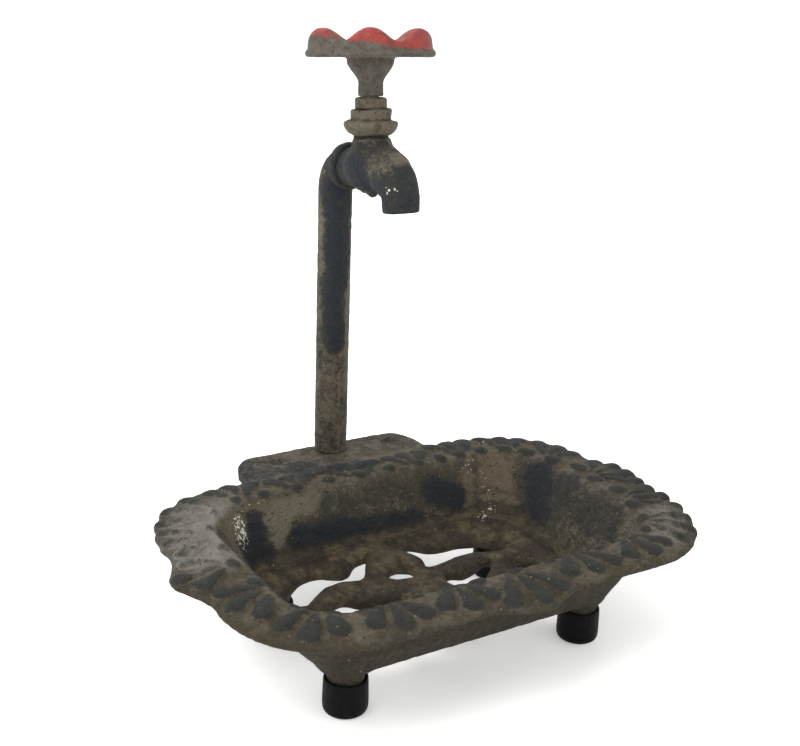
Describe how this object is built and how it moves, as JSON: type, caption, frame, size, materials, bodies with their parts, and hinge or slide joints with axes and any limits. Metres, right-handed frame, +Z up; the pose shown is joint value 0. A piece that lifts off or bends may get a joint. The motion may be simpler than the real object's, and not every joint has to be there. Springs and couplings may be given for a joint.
{
  "type": "miniature standpipe basin",
  "caption": "Small cast-iron openwork basin on rubber-capped legs, with an upright pipe and an ornamental tap whose lobed handwheel turns.",
  "frame": {"origin": "centre of the footprint, on the surface that the four boots stand on", "axes": "+Z up; +Y from the basin's front edge to the standpipe; +X to the right of someone facing the spout, which points along -Y"},
  "size_m": [0.167, 0.129, 0.1827],
  "materials": {
    "blackened_iron": "rough as-cast iron, blackened, with taupe dust in the grooves",
    "red_paint": "old red paint over cast iron, worn and dusty on the high spots",
    "boot_rubber": "smooth black rubber, satin",
    "fixing_steel": "dull turned steel",
    "fibre": "pressed brown fibre"
  },
  "bodies": {
    "basin": {"tray": "blackened_iron", "rubber_boot_front_left": "boot_rubber", "rubber_boot_front_right": "boot_rubber", "rubber_boot_rear_left": "boot_rubber", "rubber_boot_rear_right": "boot_rubber", "standpipe": "blackened_iron", "standpipe_screw": "fixing_steel", "standpipe_washer": "fixing_steel", "standpipe_lock_washer": "fixing_steel", "inlet_collar": "blackened_iron", "inlet_stud": "fixing_steel", "tap_body": "blackened_iron", "bonnet_gasket": "fibre", "bonnet": "blackened_iron", "gland_packing": "fibre", "gland_nut": "blackened_iron"},
    "handle": {"spindle": "fixing_steel", "handwheel": "red_paint", "handwheel_washer": "fixing_steel", "handwheel_screw": "fixing_steel"}
  },
  "joints": [
    {"name": "handwheel_turn", "type": "hinge", "parent": "basin", "child": "handle", "pos_m": [0, 0.0362, 0.1413], "axis": [0, 0.0698, 0.9976], "continuous": true}
  ]
}
